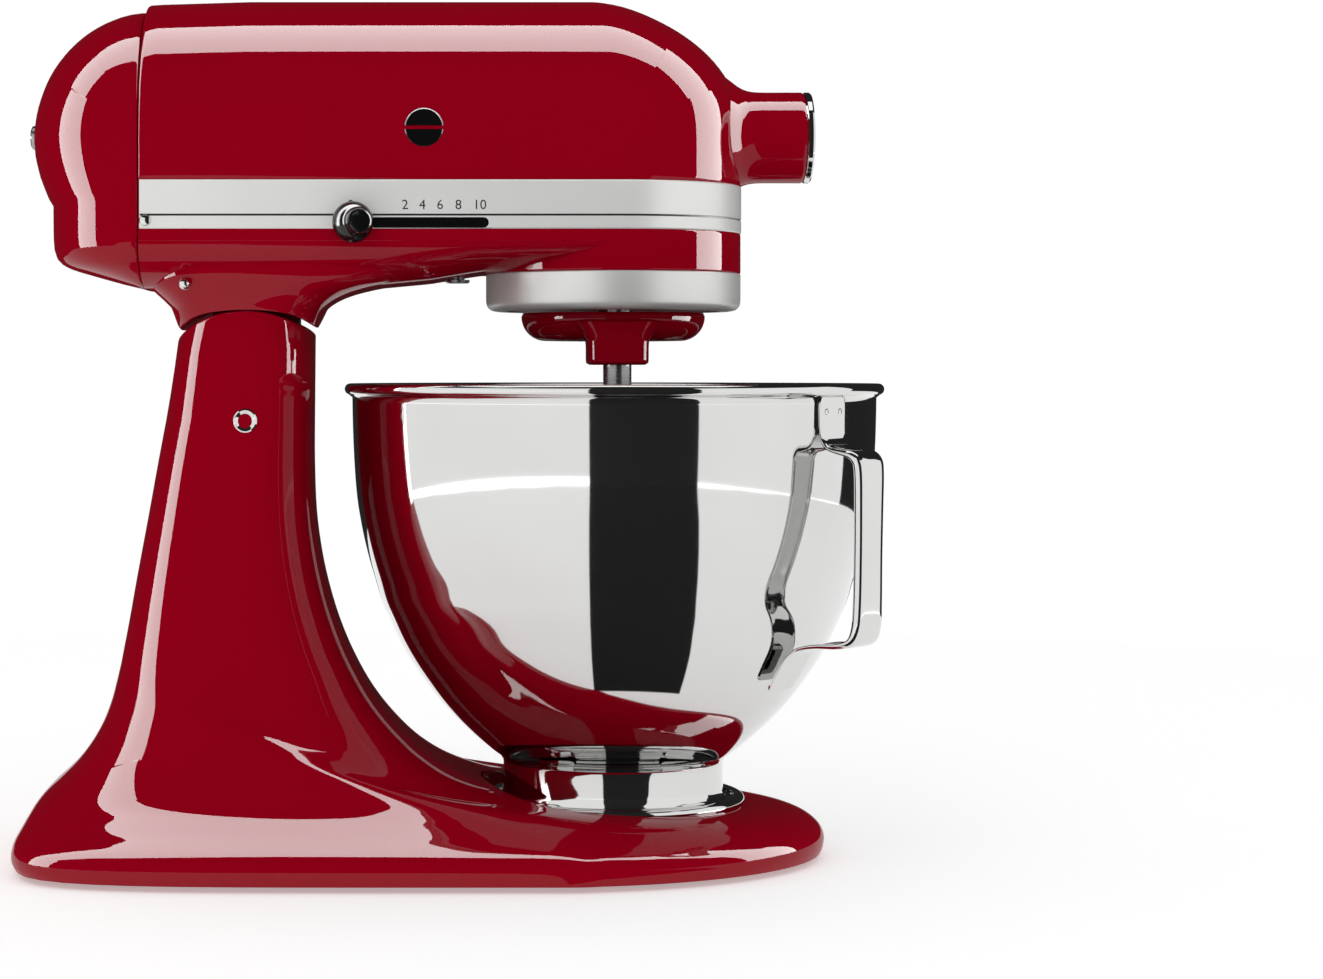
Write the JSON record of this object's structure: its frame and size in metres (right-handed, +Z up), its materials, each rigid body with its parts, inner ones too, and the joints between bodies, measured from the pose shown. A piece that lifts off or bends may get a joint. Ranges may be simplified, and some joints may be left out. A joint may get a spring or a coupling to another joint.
{
  "type": "stand mixer",
  "caption": "Tilt-head stand mixer with a planetary beater drive, a speed slider, an attachment hub and a twist-lock steel bowl with a strap handle.",
  "frame": {"origin": "middle of the whole mixer's footprint, on the table that its rubber feet stand on", "axes": "+X towards the attachment hub at the head's nose, +Y towards the side with the lock lever, +Z up"},
  "size_m": [0.3553, 0.2228, 0.353],
  "materials": {
    "red_enamel": "gloss",
    "brushed_aluminium": "brushed",
    "satin_aluminium": "satin",
    "polished_steel": "mirror polished",
    "plain_steel": "ground",
    "cast_metal": "as cast",
    "black_plastic": "moulded gloss",
    "phenolic": "moulded",
    "black_rubber": "matt",
    "bronze": "machined",
    "carbon": "matt",
    "copper_winding": "enamelled wire"
  },
  "bodies": {
    "pedestal": {"pedestal_casting": "red_enamel", "bowl_clamp_plate": "polished_steel", "clamp_plate_screws": "plain_steel", "rubber_feet": "black_rubber", "hinge_pin": "polished_steel", "hinge_pin_set_screw": "plain_steel", "head_height_screw": "plain_steel"},
    "head": {"upper_housing": "red_enamel", "lower_housing": "red_enamel", "rear_cap": "red_enamel", "rear_cap_screw": "plain_steel", "trim_band": "brushed_aluminium", "band_screws": "polished_steel", "drip_ring": "satin_aluminium", "ring_gear": "plain_steel", "underside_plug": "plain_steel", "stator_core": "plain_steel", "field_coils": "copper_winding", "brush_holders": "bronze", "carbon_brushes": "carbon", "brush_springs": "plain_steel", "brush_caps": "black_plastic", "shaft_bearings": "bronze", "rear_bearing_bracket": "cast_metal", "gear_bracket": "cast_metal", "gear_bracket_screws": "plain_steel", "speed_control_plate": "phenolic", "speed_control_board": "phenolic", "cord_gland": "black_rubber"},
    "armature": {"motor_shaft": "plain_steel", "armature_core": "plain_steel", "commutator": "copper_winding", "cooling_fan": "phenolic", "governor": "plain_steel"},
    "worm_gear": {"worm_gear": "bronze", "worm_gear_shaft": "plain_steel"},
    "planetary": {"planetary_casting": "red_enamel", "main_shaft": "plain_steel", "centre_gear": "plain_steel", "planetary_drive_pin": "plain_steel"},
    "beater_drive": {"beater_shaft": "plain_steel", "beater_pin": "plain_steel", "planet_pinion": "plain_steel"},
    "hub_drive": {"hub_bevel_gear": "plain_steel", "hub_drive_shaft": "plain_steel"},
    "hub_cover": {"hub_cover": "polished_steel"},
    "attachment_knob": {"attachment_knob": "black_plastic"},
    "lock": {"lock_shaft": "plain_steel", "lock_lever": "black_plastic"},
    "speed_control": {"speed_knob": "black_plastic", "speed_link": "plain_steel"},
    "bowl": {"bowl_shell": "polished_steel", "bowl_foot": "polished_steel", "bowl_handle": "polished_steel"}
  },
  "joints": [
    {"name": "head_tilt", "type": "hinge", "parent": "pedestal", "child": "head", "pos_m": [-0.0837, 0, 0.1802], "axis": [0, -1, 0], "range_deg": [0, 38]},
    {"name": "lock_turn", "type": "hinge", "parent": "head", "child": "lock", "pos_m": [-0.1078, 0, 0.235], "axis": [0, 1, 0], "range_deg": [0, 50]},
    {"name": "speed_slide", "type": "slide", "parent": "head", "child": "speed_control", "axis": [1, 0, 0], "range_m": [0, 0.052]},
    {"name": "planetary_spin", "type": "hinge", "parent": "head", "child": "planetary", "pos_m": [0.0662, 0, 0.22], "axis": [0, 0, 1], "continuous": true},
    {"name": "beater_spin", "type": "hinge", "parent": "planetary", "child": "beater_drive", "pos_m": [0.0662, -0.028, 0.2], "axis": [0, 0, 1], "continuous": true},
    {"name": "worm_gear_spin", "type": "hinge", "parent": "head", "child": "worm_gear", "pos_m": [0.03871, 0.0255, 0.275], "axis": [0, 0, 1], "continuous": true},
    {"name": "motor_spin", "type": "hinge", "parent": "head", "child": "armature", "pos_m": [-0.0338, 0, 0.2969], "axis": [1, 0, 0], "continuous": true},
    {"name": "hub_drive_spin", "type": "hinge", "parent": "head", "child": "hub_drive", "pos_m": [0.0962, 0, 0.2969], "axis": [1, 0, 0], "continuous": true},
    {"name": "hub_cover_slide", "type": "slide", "parent": "head", "child": "hub_cover", "axis": [1, 0, 0], "range_m": [0, 0.06]},
    {"name": "attachment_knob_turn", "type": "hinge", "parent": "head", "child": "attachment_knob", "pos_m": [0.1322, 0.02, 0.2969], "axis": [0, 1, 0], "range_deg": [0, 1080]},
    {"name": "bowl_twist", "type": "hinge", "parent": "pedestal", "child": "bowl", "pos_m": [0.0662, 0, 0.03], "axis": [0, 0, 1], "range_deg": [0, 25]}
  ],
  "couplings": [
    {"joint": "beater_spin", "follows": "planetary_spin", "ratio": -3.8571},
    {"joint": "worm_gear_spin", "follows": "planetary_spin", "ratio": -2.5714},
    {"joint": "motor_spin", "follows": "planetary_spin", "ratio": 33.429},
    {"joint": "hub_drive_spin", "follows": "planetary_spin", "ratio": 1.5}
  ]
}
